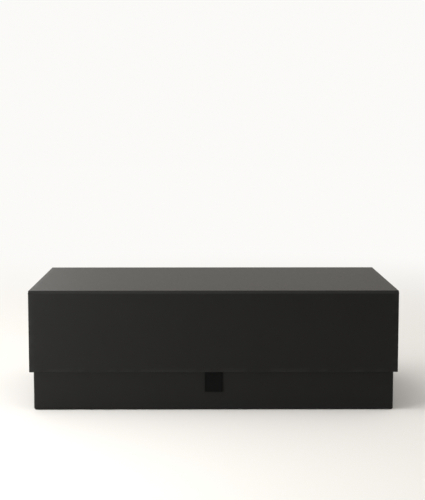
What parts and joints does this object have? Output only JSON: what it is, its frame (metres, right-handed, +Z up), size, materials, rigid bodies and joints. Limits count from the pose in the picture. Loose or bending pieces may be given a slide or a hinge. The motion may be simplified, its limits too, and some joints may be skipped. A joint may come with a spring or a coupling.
{
  "type": "wine gift box",
  "caption": "Black paper-covered rigid gift box with a hinged top, a deep front flap held by hidden magnets, a ribbon pull tab and a punched foam cradle.",
  "frame": {"origin": "on the table under the middle of the closed box", "axes": "+X along the box's length, -Y towards the flap, +Z up"},
  "size_m": [0.344, 0.1856, 0.1129],
  "materials": {
    "wrap_paper": "matte",
    "lining_paper": "matte",
    "greyboard": "matte",
    "gummed_tape": "satin",
    "magnet": "satin",
    "cradle_foam": "matte",
    "cradle_face": "matte",
    "base_paper": "matte",
    "ribbon": "satin"
  },
  "bodies": {
    "root": {"tray_board": "greyboard", "tray_wrap": "wrap_paper", "tray_base_sheet": "base_paper", "tray_lining": "lining_paper", "tray_corner_stay_front_left": "gummed_tape", "tray_corner_stay_front_right": "gummed_tape", "tray_corner_stay_back_left": "gummed_tape", "tray_corner_stay_back_right": "gummed_tape", "tray_magnet_left": "magnet", "tray_magnet_right": "magnet", "cradle_base_foam": "cradle_foam", "cradle_body_foam": "cradle_foam", "cradle_neck_foam": "cradle_foam", "cradle_face_sheet": "cradle_face", "spine_board": "greyboard", "spine_wrap": "wrap_paper", "spine_lining": "lining_paper", "back_hinge_wrap": "wrap_paper", "back_hinge_lining": "lining_paper"},
    "lid": {"top_board": "greyboard", "top_wrap": "wrap_paper", "top_lining": "lining_paper", "front_hinge_wrap": "wrap_paper", "front_hinge_lining": "lining_paper"},
    "flap": {"flap_board": "greyboard", "flap_wrap": "wrap_paper", "flap_lining": "lining_paper", "flap_magnet_left": "magnet", "flap_magnet_right": "magnet", "ribbon_tail": "ribbon", "ribbon_bend": "ribbon"},
    "pull_tab": {"ribbon_loop": "ribbon"}
  },
  "joints": [
    {"name": "lid_hinge", "type": "hinge", "parent": "root", "child": "lid", "pos_m": [0, 0.0921, 0.1122], "axis": [-1, 0, 0], "range_deg": [0, 175], "deforming": ["back_hinge_wrap", "back_hinge_lining"]},
    {"name": "flap_hinge", "type": "hinge", "parent": "lid", "child": "flap", "pos_m": [0, -0.0921, 0.1122], "axis": [-1, 0, 0], "range_deg": [0, 90], "deforming": ["front_hinge_wrap", "front_hinge_lining"]},
    {"name": "tab_bend", "type": "hinge", "parent": "flap", "child": "pull_tab", "pos_m": [0, -0.09075, 0.03555], "axis": [-1, 0, 0], "range_deg": [0, 90], "deforming": ["ribbon_bend"]}
  ]
}
